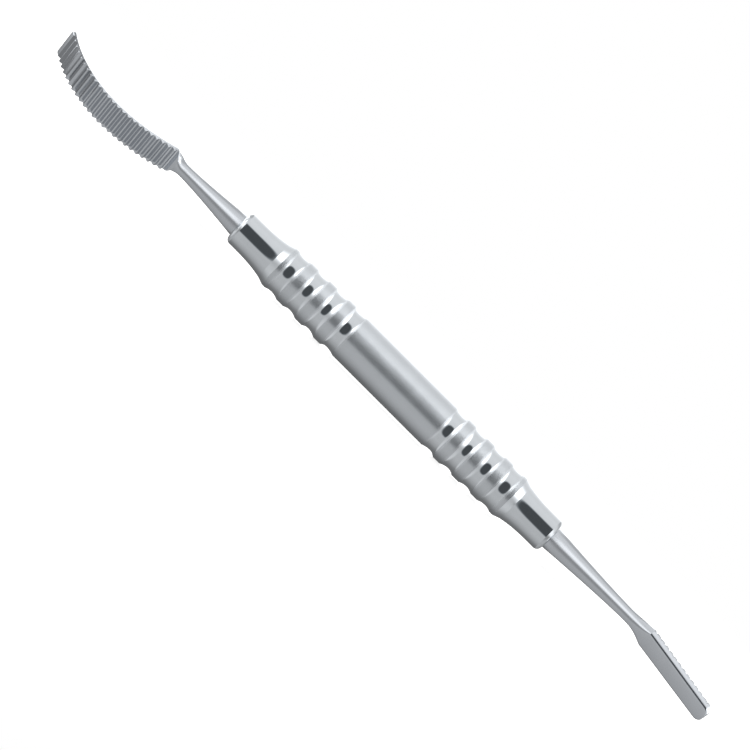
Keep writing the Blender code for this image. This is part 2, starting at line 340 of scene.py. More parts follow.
def steel(name, colour, roughness, grain, lines, scratch, spread=0.0):
    """Steel with fine lines, soft smudges and a little wear.

    grain is the size of the pattern along X, Y and Z in lines per metre, lines the depth of the bump
    in metres, scratch how far the roughness wanders, and spread how much wider reflections are along X.
    """
    material = bpy.data.materials.new(name)
    material.use_nodes = True
    tree = material.node_tree
    shader = tree.nodes["Principled BSDF"]
    shader.inputs["Metallic"].default_value = 1.0
    coordinates = node(tree, "ShaderNodeTexCoord").outputs["Object"]
    stretched = node(tree, "ShaderNodeMapping", {"Vector": coordinates, "Scale": grain}).outputs[0]
    hairlines = {"Vector": stretched, "Scale": 1.0, "Detail": 4.0, "Roughness": 0.65}
    fine = node(tree, "ShaderNodeTexNoise", hairlines)
    smudges = {"Vector": coordinates, "Scale": SMUDGE_SCALE, "Detail": 5.0, "Roughness": 0.6}
    smudge = node(tree, "ShaderNodeTexNoise", smudges)
    gains = (1.0 - SMUDGE_SHIFT, 1.0 + SMUDGE_SHIFT)
    darker, lighter = ((*(min(1.0, gain * part) for part in colour), 1.0) for gain in gains)
    tint = node(tree, "ShaderNodeMix", {0: smudge.outputs["Fac"], 6: darker, 7: lighter}, data_type="RGBA")
    tree.links.new(tint.outputs[2], shader.inputs["Base Color"])
    mixed = calc(tree, "ADD", fine.outputs["Fac"], smudge.outputs["Fac"])
    wander = remap(tree, mixed, (0.6, 1.4), (roughness - scratch, roughness + scratch))
    tree.links.new(wander, shader.inputs["Roughness"])
    bump = node(tree, "ShaderNodeBump", {"Height": fine.outputs["Fac"], "Distance": lines, "Strength": 1.0})
    tree.links.new(bump.outputs[0], shader.inputs["Normal"])
    shader.inputs["Anisotropic"].default_value = spread
    tree.links.new(node(tree, "ShaderNodeCombineXYZ", {"X": 1.0}).outputs[0], shader.inputs["Tangent"])
    return material


# Handle


def plain_outline(settings):
    """Distance along the axis and radius of the handle's outline before its grooves, as a closed loop.

    The loop has extra points where the grooves will be turned, and takes in the bores and the hollow.
    """
    pitch, width, count = settings.groove_pitch, settings.groove_width, settings.groove_count
    nose_start = HALF_LENGTH - NOSE_LENGTH
    crest_end = nose_start - NOSE_FLANK
    innermost = crest_end - LAST_CREST_WIDTH - width / 2 - (count - 1) * pitch
    half = []
    steps = settings.groove_steps
    for groove in range(count):
        centre = innermost + groove * pitch
        outer = CREST_RADIUS - groove * CREST_FALL
        inner = outer + CREST_FALL if groove else GRIP_RADIUS
        for step in range(steps + 1):
            across = 2 * step / steps - 1
            half.append((centre + across * width / 2, inner if across < 0 else outer))
    half.append((crest_end, CREST_RADIUS - (count - 1) * CREST_FALL))
    run = NOSE_LENGTH - NOSE_ROUNDING
    for step in range(settings.nose_steps):
        part = (step / settings.nose_steps) ** 2
        radius = NOSE_RADIUS + (NOSE_FOOT_RADIUS - NOSE_RADIUS) * (1 - part) ** NOSE_CURVE
        half.append((nose_start + run * part, radius))
    for step in range(settings.nose_steps + 1):
        angle = math.pi / 2 * step / settings.nose_steps
        out = HALF_LENGTH - NOSE_ROUNDING * (1 - math.sin(angle))
        half.append((out, NOSE_RADIUS - NOSE_ROUNDING * (1 - math.cos(angle))))
    bore_end = HALF_LENGTH - BORE_DEPTH
    half += [(HALF_LENGTH, BORE_RADIUS), (bore_end, BORE_RADIUS), (bore_end - HOLLOW_SHOULDER, HOLLOW_RADIUS)]
    return [(-out, radius) for out, radius in reversed(half)] + half, innermost


def turning_tree():
    """Turns the grooves into an outline by rule, then sweeps it round the handle's axis."""
    number, whole = "NodeSocketFloat", "NodeSocketInt"
    sockets = [
        ("Innermost groove", number),
        ("Groove pitch", number),
        ("Groove width", number),
        ("Groove floor radius", number),
        ("Floor offset", number),
        ("Floor drift", number),
        ("Grooves", number),
        ("Nose start", number),
        ("Polished share", number),
        ("Sides", whole),
        ("Satin", "NodeSocketMaterial"),
        ("Polished", "NodeSocketMaterial"),
    ]
    tree, given, result = new_tree("turned_handle", sockets)
    position = node(tree, "GeometryNodeInputPosition").outputs[0]
    place = node(tree, "ShaderNodeSeparateXYZ", {"Vector": position}).outputs
    out = calc(tree, "ABSOLUTE", place["X"])
    pitch = given["Groove pitch"]
    nearest, off = nearest_repeat(tree, out, given["Innermost groove"], pitch, given["Grooves"])
    from_centre = calc(tree, "MULTIPLY", off, pitch)
    half_width = calc(tree, "MULTIPLY", given["Groove width"], 0.5)
    across = calc(tree, "DIVIDE", from_centre, half_width)
    in_groove = calc(tree, "LESS_THAN", calc(tree, "ABSOLUTE", across), GROOVE_RIM)

    # The groove's lowest point lies nearer the handle's end than its middle, so each side is its own arc

    drift = calc(tree, "MULTIPLY", nearest, given["Floor drift"])
    offset = calc(tree, "SUBTRACT", given["Floor offset"], drift)
    past_floor = calc(tree, "SUBTRACT", across, offset)
    side = calc(tree, "SIGN", past_floor)
    reach = calc(tree, "SUBTRACT", 1.0, calc(tree, "MULTIPLY", side, offset))
    rise = calc(tree, "POWER", calc(tree, "ABSOLUTE", calc(tree, "DIVIDE", past_floor, reach)), 2.0)
    outside = calc(tree, "GREATER_THAN", place["Y"], given["Groove floor radius"])
    turned = calc(tree, "MULTIPLY", in_groove, outside)
    deep = calc(tree, "SUBTRACT", place["Y"], given["Groove floor radius"])
    cut = calc(tree, "MULTIPLY", calc(tree, "MULTIPLY", deep, calc(tree, "SUBTRACT", 1.0, rise)), turned)
    radius = calc(tree, "SUBTRACT", place["Y"], cut)

    # The outline is swept along a small circle, so it is drawn that much nearer the axis

    across_profile = calc(tree, "SUBTRACT", radius, RAIL_RADIUS)
    flat = node(tree, "ShaderNodeCombineXYZ", {"X": across_profile, "Y": place["X"], "Z": 0.0}).outputs[0]
    redrawn = {"Geometry": given["Geometry"], "Position": flat}
    drawn = node(tree, "GeometryNodeSetPosition", redrawn).outputs[0]
    profile = node(tree, "GeometryNodeMeshToCurve", {"Mesh": drawn}).outputs[0]
    circle = {"Resolution": given["Sides"], "Radius": RAIL_RADIUS}
    rail = node(tree, "GeometryNodeCurvePrimitiveCircle", circle).outputs[0]
    swept = node(tree, "GeometryNodeCurveToMesh", {"Curve": rail, "Profile Curve": profile}).outputs[0]
    stood = node(tree, "ShaderNodeCombineXYZ", {"X": place["Z"], "Y": place["X"], "Z": place["Y"]}).outputs[0]
    laid = node(tree, "GeometryNodeSetPosition", {"Geometry": swept, "Position": stood}).outputs[0]
    welded = node(tree, "GeometryNodeMergeByDistance", {"Geometry": laid, "Distance": WELD}).outputs[0]
    real = node(tree, "GeometryNodeRealizeInstances", {"Geometry": welded}).outputs[0]
    satin = node(tree, "GeometryNodeSetMaterial", {"Geometry": real, "Material": given["Satin"]}).outputs[0]

    in_nose = calc(tree, "GREATER_THAN", out, given["Nose start"])
    in_polish = calc(tree, "LESS_THAN", calc(tree, "ABSOLUTE", across), given["Polished share"])
    bright = calc(tree, "MAXIMUM", in_polish, in_nose)
    cladding = {"Geometry": satin, "Selection": bright, "Material": given["Polished"]}
    tree.links.new(node(tree, "GeometryNodeSetMaterial", cladding).outputs[0], result)
    return tree


class HandleSettings(bpy.types.PropertyGroup):
    """Sizes and finishes of the turned handle."""

    groove_count: bpy.props.IntProperty(name="Grooves", description="Grooves on each half", default=4, min=1)
    groove_pitch: bpy.props.FloatProperty(
        name="Groove pitch",
        description="Distance between grooves",
        default=0.00515,
        unit="LENGTH",
        precision=5,
    )
    groove_width: bpy.props.FloatProperty(
        name="Groove width", description="Width of a groove", default=0.0033, unit="LENGTH", precision=5
    )
    groove_floor: bpy.props.FloatProperty(
        name="Groove floor",
        description="Radius at a groove's floor",
        default=0.00466,
        unit="LENGTH",
        precision=5,
    )
    floor_offset: bpy.props.FloatProperty(
        name="Floor offset",
        description="How far the inner groove's lowest point lies outwards, as a share of half the width",
        default=0.24,
    )
    floor_drift: bpy.props.FloatProperty(
        name="Floor drift",
        description="How much smaller that share gets from groove to groove",
        default=0.055,
    )
    polished_share: bpy.props.FloatProperty(
        name="Polished share",
        description="Share of a groove's width that is polished",
        default=0.78,
        subtype="FACTOR",
    )
    groove_steps: bpy.props.IntProperty(
        name="Groove steps", description="Rows across a groove", default=18, min=4
    )
    nose_steps: bpy.props.IntProperty(
        name="Nose steps", description="Rows along a nose", default=20, min=4
    )
    sides: bpy.props.IntProperty(name="Sides", description="Facets round the handle", default=128, min=12)
    satin_colour: bpy.props.FloatVectorProperty(
        name="Satin steel",
        description="Colour of the ridges and the middle",
        default=(0.48, 0.504, 0.528),
        subtype="COLOR",
    )
    polished_colour: bpy.props.FloatVectorProperty(
        name="Polished steel",
        description="Colour of the grooves and noses",
        default=(0.535, 0.56, 0.585),
        subtype="COLOR",
    )
    satin_roughness: bpy.props.FloatProperty(
        name="Satin roughness", description="Roughness of the ridges", default=0.38, subtype="FACTOR"
    )
    satin_spread: bpy.props.FloatProperty(
        name="Satin spread",
        description="How far turned lines spread reflections along the handle",
        default=0.85,
    )
    polished_roughness: bpy.props.FloatProperty(
        name="Polished roughness", description="Roughness of the grooves", default=0.07, subtype="FACTOR"
    )


class BONEFILE_OT_handle(bpy.types.Operator):
    """Turn the hollow handle with its ringed grips and polished noses"""

    bl_idname = "bonefile.make_handle"
    bl_label = "Make handle"

    def execute(self, context):
        settings = context.scene.bone_file_handle
        outline, innermost = plain_outline(settings)
        mesh = bpy.data.meshes.new("handle_outline")
        edges = [(index, (index + 1) % len(outline)) for index in range(len(outline))]
        mesh.from_pydata([(along, radius, 0.0) for along, radius in outline], edges, [])
        handle = new_object("handle_turned", mesh)
        satin = steel(
            "satin_steel",
            settings.satin_colour,
            settings.satin_roughness,
            grain=TURNED_LINES,
            lines=2.5e-7,
            scratch=0.04,
            spread=settings.satin_spread,
        )
        polished = steel(
            "polished_steel",
            settings.polished_colour,
            settings.polished_roughness,
            grain=TURNED_LINES,
            lines=3e-8,
            scratch=0.02,
        )
        values = {
            "Innermost groove": innermost,
            "Groove pitch": settings.groove_pitch,
            "Groove width": settings.groove_width,
            "Groove floor radius": settings.groove_floor,
            "Floor offset": settings.floor_offset,
            "Floor drift": settings.floor_drift,
            "Grooves": float(settings.groove_count),
            "Nose start": HALF_LENGTH - NOSE_LENGTH - NOSE_FLANK,
            "Polished share": settings.polished_share,
            "Sides": settings.sides,
            "Satin": satin,
            "Polished": polished,
        }
        run_tree(handle, turning_tree(), values)
        close_up(handle.data, HANDLE_SMOOTH)
        bevel = handle.modifiers.new("lips", "BEVEL")
        bevel.width = LIP_BEVEL
        bevel.segments = 2
        bevel.limit_method = "ANGLE"
        bevel.angle_limit = LIP_ANGLE
        plain_mesh(handle)
        close_up(handle.data, HANDLE_SMOOTH)
        handle.data.transform(Matrix.Translation(AXIS_AT))
        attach(handle, "root")
        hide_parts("handle")
        return {"FINISHED"}


# Working ends


def bend_start(end):
    """Distance of the start of a working end's bend from the handle's middle."""
    return HALF_LENGTH + end["shank"] + end["neck"]


def blade_root(end):
    """Distance of the blade's root from the start of the bend, along the path."""
    return end["bend_radius"] * end["bend"] + end["run"]


def slope(end, along):
    """Angle of a working end's path from the handle's axis, at a distance from the start of its bend."""
    if along < 0.0:
        return 0.0
    root = blade_root(end)
    if along < root:
        return min(along / end["bend_radius"], end["bend"])
    out = along - root
    growth = (end["tip_curvature"] - end["root_curvature"]) / end["length"]
    return end["bend"] - (end["root_curvature"] + growth * out / 2) * out


def path_frames(end, alongs):
    """Frames of the path at rising distances along it: X runs on along the path, Y across the blade."""
    bend_at = bend_start(end)
    centre = Vector((bend_at, 0.0, 0.0))
    reached = 0.0
    frames = []
    for along in alongs:
        if along <= 0.0:
            frames.append(Matrix.Translation((bend_at + along, 0.0, 0.0)))
            continue
        steps = max(1, math.ceil((along - reached) / PATH_STEP))
        for step in range(steps):
            angle = slope(end, reached + (along - reached) * (step + 0.5) / steps)
            centre = centre + Vector((math.cos(angle), 0.0, math.sin(angle))) * ((along - reached) / steps)
        reached = along
        frames.append(Matrix.Translation(centre) @ Matrix.Rotation(-slope(end, along), 4, "Y"))
    return frames


def shank_radius(length, out):
    left = max(0.0, 1.0 - out / length)
    return NECK_RADIUS + (SHANK_RADIUS - NECK_RADIUS) * left**SHANK_CURVE


def section(end, along):
    """Width, thickness and corner radius of a working end at a distance along its path."""
    root = blade_root(end)
    bend_at = bend_start(end)
    flare_start = root - end["flare"]
    if along <= flare_start:
        radius = shank_radius(end["shank"], bend_at + along - HALF_LENGTH)
        return 2 * radius, 2 * radius, radius
    if along < root:
        part = (along - flare_start) / end["flare"]
        width = 2 * NECK_RADIUS + (end["root_width"] - 2 * NECK_RADIUS) * part**FLARE_CURVE
        thickness = 2 * NECK_RADIUS + (end["root_thickness"] - 2 * NECK_RADIUS) * part**FLARE_CURVE
        corner = NECK_RADIUS + (end["edge_rounding"] - NECK_RADIUS) * part
        return width, thickness, min(corner, thickness / 2, width / 2)
    part = (along - root) / end["length"]
    tip = root + end["length"]
    into_tip = max(0.0, along - tip + end["tip_rounding"])
    cut_back = end["tip_rounding"] - math.sqrt(max(0.0, end["tip_rounding"] ** 2 - into_tip**2))
    width = end["root_width"] + (end["tip_width"] - end["root_width"]) * part
    thickness = end["root_thickness"] + (end["tip_thickness"] - end["root_thickness"]) * part
    return width - 2 * cut_back, thickness, end["edge_rounding"]


def cut_count(end, teeth):
    opening = teeth.pitch - teeth.crest
    return 1 + math.floor((end["length"] - opening / 2 - end["first_cut"]) / teeth.pitch)


def blank_rows(end, teeth):
    """Distances along the path at which the blank has a row of points, close where teeth have corners."""
    root = blade_root(end)
    bend_at = bend_start(end)
    mouth = HALF_LENGTH + MOUTH_GAP - bend_at
    tip = root + end["length"]
    flare_start = root - end["flare"]
    rows = {mouth + (flare_start - mouth) * step / SHANK_ROWS for step in range(SHANK_ROWS + 1)}
    rows |= {flare_start + end["flare"] * step / FLARE_ROWS for step in range(FLARE_ROWS)}
    opening = teeth.pitch - teeth.crest
    easing = 1.2 * TOOTH_ROUNDING
    marks = [0.0, teeth.floor / 2 - easing, teeth.floor / 2, teeth.floor / 2 + easing]
    marks += [(teeth.floor + opening) / 4, opening / 2 - easing, opening / 2, opening / 2 + easing]
    for cut in range(cut_count(end, teeth)):
        centre = root + end["first_cut"] + cut * teeth.pitch
        rows |= {centre + side * mark for mark in marks for side in (-1, 1)}
    for step in range(TIP_ROWS + 1):
        rows.add(tip - end["tip_rounding"] * (1 - math.sin(math.pi / 2 * step / TIP_ROWS)))
    rows = sorted(row for row in rows if row <= tip)
    kept = [rows[0]]
    for row in rows[1:]:
        if row - kept[-1] > CLOSEST_ROWS:
            kept.append(row)
    return kept


def blank(end, teeth):
    """Uncut working end with, at each point, what the tooth rule needs to know."""
    root = blade_root(end)
    bend_at = bend_start(end)
    rows = blank_rows(end, teeth)
    tang = (2 * TANG_RADIUS, 2 * TANG_RADIUS, TANG_RADIUS)
    alongs = [HALF_LENGTH - TANG_LENGTH - bend_at, rows[0]] + rows
    sections = [tang, tang] + [section(end, row) for row in rows]
    frames = path_frames(end, alongs)
    points, outs, aboves, halves, lifts = [], [], [], [], []
    for along, (width, thickness, corner), place in zip(alongs, sections, frames):
        lift = place.to_3x3() @ Vector((0.0, 0.0, float(end["toothed_side"])))
        for quarter, (y_side, z_side) in enumerate(((1, 1), (-1, 1), (-1, -1), (1, -1))):
            for step in range(CORNER_POINTS):
                angle = math.pi / 2 * (quarter + (step + 0.5) / CORNER_POINTS)
                y = y_side * (width / 2 - corner) + corner * math.cos(angle)
                z = z_side * (thickness / 2 - corner) + corner * math.sin(angle)
                points.append(place @ Vector((0.0, y, z)))
                outs.append(along - root)
                aboves.append(z * end["toothed_side"])
                halves.append(thickness / 2)
                lifts.extend(lift)
    count = 4 * CORNER_POINTS
    faces = []
    for row in range(len(alongs) - 1):
        for index in range(count):
            after = (index + 1) % count
            low, high = row * count, (row + 1) * count
            faces.append((low + index, low + after, high + after, high + index))
    faces.append(tuple(reversed(range(count))))
    faces.append(tuple(range(len(points) - count, len(points))))
    mesh = bpy.data.meshes.new(end["name"])
    mesh.from_pydata(points, [], faces)
    for name, values in (("out", outs), ("above", aboves), ("half", halves)):
        mesh.attributes.new(name, "FLOAT", "POINT").data.foreach_set("value", values)
    mesh.attributes.new("lift", "FLOAT_VECTOR", "POINT").data.foreach_set("vector", lifts)
    return mesh


def tooth_tree():
    """Lowers a blank's toothed face into evenly spaced cuts with flat floors and narrow crests."""
    number = "NodeSocketFloat"
    sockets = [
        ("First cut", number),
        ("Pitch", number),
        ("Depth", number),
        ("Crest width", number),
        ("Floor width", number),
        ("Rounding", number),
        ("Unevenness", number),
        ("Cuts", number),
        ("Steel", "NodeSocketMaterial"),
    ]
    tree, given, result = new_tree("cross_teeth", sockets)

    def own(name, kind="FLOAT"):
        stored = node(tree, "GeometryNodeInputNamedAttribute", {"Name": name}, data_type=kind)
        return stored.outputs["Attribute"]

    out, above, half = own("out"), own("above"), own("half")
    nearest, off = nearest_repeat(tree, out, given["First cut"], given["Pitch"], given["Cuts"])
    from_centre = calc(tree, "MULTIPLY", calc(tree, "ABSOLUTE", off), given["Pitch"])
    half_floor = calc(tree, "MULTIPLY", given["Floor width"], 0.5)
    opening = calc(tree, "SUBTRACT", given["Pitch"], given["Crest width"])
    flank = calc(tree, "MULTIPLY", calc(tree, "SUBTRACT", opening, given["Floor width"]), 0.5)
    chance = node(tree, "ShaderNodeTexWhiteNoise", {"W": nearest}, noise_dimensions="1D").outputs["Value"]
    wander = calc(tree, "MULTIPLY", calc(tree, "MULTIPLY_ADD", chance, 2.0, -1.0), given["Unevenness"])
    depth = calc(tree, "MULTIPLY", given["Depth"], calc(tree, "ADD", 1.0, wander))
    steep = calc(tree, "DIVIDE", depth, flank)
    climb = calc(tree, "MULTIPLY", calc(tree, "SUBTRACT", from_centre, half_floor), steep)
    groove = calc(tree, "SMOOTH_MAX", climb, 0.0, given["Rounding"])
    height = calc(tree, "ADD", calc(tree, "SUBTRACT", half, depth), groove)
    lowered = calc(tree, "SMOOTH_MIN", above, height, given["Rounding"])
    drop = calc(tree, "SUBTRACT", lowered, above)
    direction = {"Vector": own("lift", "FLOAT_VECTOR"), "Scale": drop}
    scaled = node(tree, "ShaderNodeVectorMath", direction, operation="SCALE").outputs[0]
    cut = node(tree, "GeometryNodeSetPosition", {"Geometry": given["Geometry"], "Offset": scaled}).outputs[0]
    real = node(tree, "GeometryNodeRealizeInstances", {"Geometry": cut}).outputs[0]
    clad = node(tree, "GeometryNodeSetMaterial", {"Geometry": real, "Material": given["Steel"]}).outputs[0]
    tree.links.new(clad, result)
    return tree


def make_file(context, end):
    """Makes one working end, cuts its teeth and puts it where its solid is."""
    teeth = context.scene.bone_file_teeth
    piece = new_object(end["name"], blank(end, teeth))
    name = end["name"] + "_steel"
    finish = steel(name, teeth.colour, teeth.roughness, grain=GROUND_LINES, lines=1e-7, scratch=0.05)
    values = {
        "First cut": end["first_cut"],
        "Pitch": teeth.pitch,
        "Depth": teeth.depth,
        "Crest width": teeth.crest,
        "Floor width": teeth.floor,
        "Rounding": TOOTH_ROUNDING,
        "Unevenness": teeth.unevenness,
        "Cuts": float(cut_count(end, teeth)),
        "Steel": finish,
    }
    run_tree(piece, tooth_tree(), values)
    turned = Matrix.Rotation(ROLL, 4, "X") @ Matrix.Rotation(end["turn"], 4, "Z")
    piece.data.transform(Matrix.Translation(AXIS_AT) @ turned)
    close_up(piece.data, FILE_SMOOTH)
    for attribute in ("above", "half", "lift"):
        piece.data.attributes.remove(piece.data.attributes[attribute])
    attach(piece, "root")
    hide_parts(end["node"])


class TeethSettings(bpy.types.PropertyGroup):
    """Sizes of the cross teeth on both blades, and the blades' finish."""

    pitch: bpy.props.FloatProperty(
        name="Pitch",
        description="Distance from tooth to tooth",
        default=0.001374,
        unit="LENGTH",
        precision=6,
    )
    depth: bpy.props.FloatProperty(
        name="Depth", description="Depth of the cuts", default=0.00062, unit="LENGTH", precision=6
    )
    unevenness: bpy.props.FloatProperty(
        name="Unevenness", description="How far the cuts' depths differ, as a share of the depth", default=0.1
    )
    crest: bpy.props.FloatProperty(
        name="Crest width",
        description="Flat left at a tooth's top",
        default=0.00012,
        unit="LENGTH",
        precision=6,
    )
    floor: bpy.props.FloatProperty(
        name="Floor width",
        description="Flat at the bottom of a cut",
        default=0.0003,
        unit="LENGTH",
        precision=6,
    )
    colour: bpy.props.FloatVectorProperty(
        name="Blade steel", description="Colour of both blades", default=(0.498, 0.52, 0.55), subtype="COLOR"
    )
    roughness: bpy.props.FloatProperty(
        name="Blade roughness", description="Roughness of both blades", default=0.2, subtype="FACTOR"
    )


class BONEFILE_OT_curved_file(bpy.types.Operator):
    """Make the working end with the long curved blade"""

    bl_idname = "bonefile.make_curved_file"
    bl_label = "Make curved file"

    def execute(self, context):
        make_file(context, CURVED)
        return {"FINISHED"}


class BONEFILE_OT_straight_file(bpy.types.Operator):
    """Make the working end with the short straight blade"""

    bl_idname = "bonefile.make_straight_file"
    bl_label = "Make straight file"

    def execute(self, context):
        make_file(context, STRAIGHT)
        return {"FINISHED"}


# Studio


class StudioSettings(bpy.types.PropertyGroup):
    """Light levels and floor of the studio."""

    lamp_level: bpy.props.FloatProperty(
        name="Lamp level", description="Radiance of the overhead lamp", default=1.0
    )
    surround_level: bpy.props.FloatProperty(
        name="Surround level", description="Light of the room on matt surfaces", default=0.6
    )
    blade_level: bpy.props.FloatProperty(
        name="Blade level", description="Radiance of the cards above the blades", default=1.42
    )
    behind_level: bpy.props.FloatProperty(
        name="Behind level",
        description="Radiance of the cards behind the straight blade and over the curved one's tip",
        default=0.5,
    )
    # The cards below the curved blade glow at these two levels as painted shade of the floor under it
    under_shade_level: bpy.props.FloatProperty(
        name="Under level", description="Radiance of the card below the curved blade", default=0.67
    )
    tip_shade_level: bpy.props.FloatProperty(
        name="Tip level", description="Radiance of the card below the curved blade's tip", default=0.33
    )
    dark_level: bpy.props.FloatProperty(
        name="Dark level", description="Radiance of the dark opening", default=0.11
    )
    floor_colour: bpy.props.FloatVectorProperty(
        name="Floor", description="Colour of the floor", default=(0.82, 0.82, 0.82), subtype="COLOR"
    )
    floor_share: bpy.props.FloatProperty(
        name="Floor share", description="Share of the lit floor that shows", default=0.2
    )
    floor_lift: bpy.props.FloatProperty(
        name="Floor lift", description="Glow that tops the floor up to white", default=0.82
    )
    floor_gloss: bpy.props.FloatProperty(
        name="Floor gloss", description="Share of mirror image on the floor", default=0.2
    )


def level_round(tree, ahead, above, levels):
    """Level by the angle round the handle's axis, where ahead is the camera's side."""
    top = max(level for _, level in levels)
    turned = calc(tree, "ARCTAN2", above, ahead)
    place = calc(tree, "MULTIPLY_ADD", turned, 0.5 / math.pi, 0.5)
    curve = node(tree, "ShaderNodeFloatCurve", {"Value": place})
    points = curve.mapping.curves[0].points
    for point, (_, level) in zip((points[0], points[-1]), (levels[0], levels[-1])):
        point.location = (point.location.x, level / top)
    for degrees, level in levels[1:-1]:
        points.new(0.5 + degrees / 360, level / top)
    curve.mapping.update()
    return turned, calc(tree, "MULTIPLY", curve.outputs[0], top)


def mirror_only(mesh, level=1.0):
    """Makes a stage piece that reflections alone see, and only from its face, and gives its node tree."""
    obj = new_object(mesh.name, mesh)
    obj.visible_camera = False
    obj.visible_diffuse = False
    obj.visible_shadow = False
    material = bpy.data.materials.new(mesh.name)
    material.use_nodes = True
    tree = material.node_tree
    tree.nodes.clear()
    glow = node(tree, "ShaderNodeEmission", {"Color": WHITE, "Strength": level}).outputs[0]
    clear = node(tree, "ShaderNodeBsdfTransparent").outputs[0]
    behind = node(tree, "ShaderNodeNewGeometry").outputs["Backfacing"]
    mixed = node(tree, "ShaderNodeMixShader", {0: behind, 1: glow, 2: clear}).outputs[0]
    node(tree, "ShaderNodeOutputMaterial", {"Surface": mixed})
    mesh.materials.append(material)
    return tree


def reflector(end, end_radius):
    """Tapered tube round a shank, seen from inside, with levels that follow the angle round the axis."""
    start = AXIS_AT.x + math.copysign(REFLECTOR_START, end)
    count = REFLECTOR_SIDES
    corners, faces = [], []
    for step in range(count):
        angle = 2 * math.pi * step / count
        for along, radius in ((start, REFLECTOR_RADIUS), (AXIS_AT.x + end, end_radius)):
            y, z = radius * math.cos(angle), radius * math.sin(angle)
            corners.append((along, AXIS_AT.y + y, AXIS_AT.z + z))
        here, after = 2 * step, 2 * (step + 1) % (2 * count)
        face = (here, here + 1, after + 1, after)
        faces.append(face if end > 0 else face[::-1])
    mesh = bpy.data.meshes.new("reflector")
    mesh.from_pydata(corners, [], faces)
    tree = mirror_only(mesh)
    position = node(tree, "ShaderNodeTexCoord").outputs["Object"]
    place = node(tree, "ShaderNodeSeparateXYZ", {0: position}).outputs
    ahead = calc(tree, "SUBTRACT", AXIS_AT.y, place["Y"])
    above = calc(tree, "SUBTRACT", place["Z"], AXIS_AT.z)
    # Below the axis these levels are a painted reflection of the floor under the shank, with painted shade,
    # since reflections don't see the real floor
    level = level_round(tree, ahead, above, SHANK_LEVELS)[1]
    tree.links.new(level, tree.nodes["Emission"].inputs["Strength"])


def card(name, low, high, height, level, faces_down):
    """Level card that only reflections see, from one side."""
    (left, front), (right, back) = low, high
    corners = [(left, front, height), (right, front, height), (right, back, height), (left, back, height)]
    mesh = bpy.data.meshes.new(name)
    mesh.from_pydata(corners, [], [(3, 2, 1, 0) if faces_down else (0, 1, 2, 3)])
    mirror_only(mesh, level)


def floor_material(settings):
    """Pale floor with a faint gloss, topped up to white for the camera where the lamp lights it fully.

    It fades out at its rim, where the white world takes over.
    """
    material = bpy.data.materials.new("studio_floor")
    material.use_nodes = True
    tree = material.node_tree
    tree.nodes.clear()
    seen = node(tree, "ShaderNodeLightPath").outputs["Is Camera Ray"]
    kept = calc(tree, "SUBTRACT", 1.0, calc(tree, "MULTIPLY", seen, 1.0 - settings.floor_share))
    shade = {0: tuple(settings.floor_colour), "Scale": kept}
    tint = node(tree, "ShaderNodeVectorMath", shade, operation="SCALE").outputs[0]
    dull = node(tree, "ShaderNodeBsdfDiffuse", {"Color": tint}).outputs[0]
    polish = {"Color": WHITE, "Roughness": FLOOR_ROUGHNESS}
    gloss = node(tree, "ShaderNodeBsdfGlossy", polish).outputs[0]
    share = calc(tree, "MULTIPLY", seen, settings.floor_gloss)
    base = node(tree, "ShaderNodeMixShader", {0: share, 1: dull, 2: gloss}).outputs[0]
    lift = calc(tree, "MULTIPLY", seen, settings.floor_lift)
    glow = node(tree, "ShaderNodeEmission", {"Color": WHITE, "Strength": lift}).outputs[0]
    total = node(tree, "ShaderNodeAddShader", {0: base, 1: glow}).outputs[0]
    place = node(tree, "ShaderNodeTexCoord").outputs["Object"]
    radius = node(tree, "ShaderNodeVectorMath", {0: place}, operation="LENGTH").outputs["Value"]
    fade = remap(tree, radius, FLOOR_FADE)
    clear = node(tree, "ShaderNodeBsdfTransparent").outputs[0]
    rimmed = node(tree, "ShaderNodeMixShader", {0: fade, 1: total, 2: clear}).outputs[0]
    node(tree, "ShaderNodeOutputMaterial", {"Surface": rimmed})
    return material


def lay_floor(settings):
    """Floor just below the part. Reflections on the part don't see it; the world and the cards paint its
    reflection and its shade for them.
    """
    reach = FLOOR_REACH
    corners = [(-reach, -reach, 0.0), (reach, -reach, 0.0), (reach, reach, 0.0), (-reach, reach, 0.0)]
    mesh = bpy.data.meshes.new("floor")
    mesh.from_pydata(corners, [], [(0, 1, 2, 3)])
    mesh.materials.append(floor_material(settings))
    floor = new_object("floor", mesh)
    floor.location.z = -FLOOR_DROP
    floor.visible_glossy = False


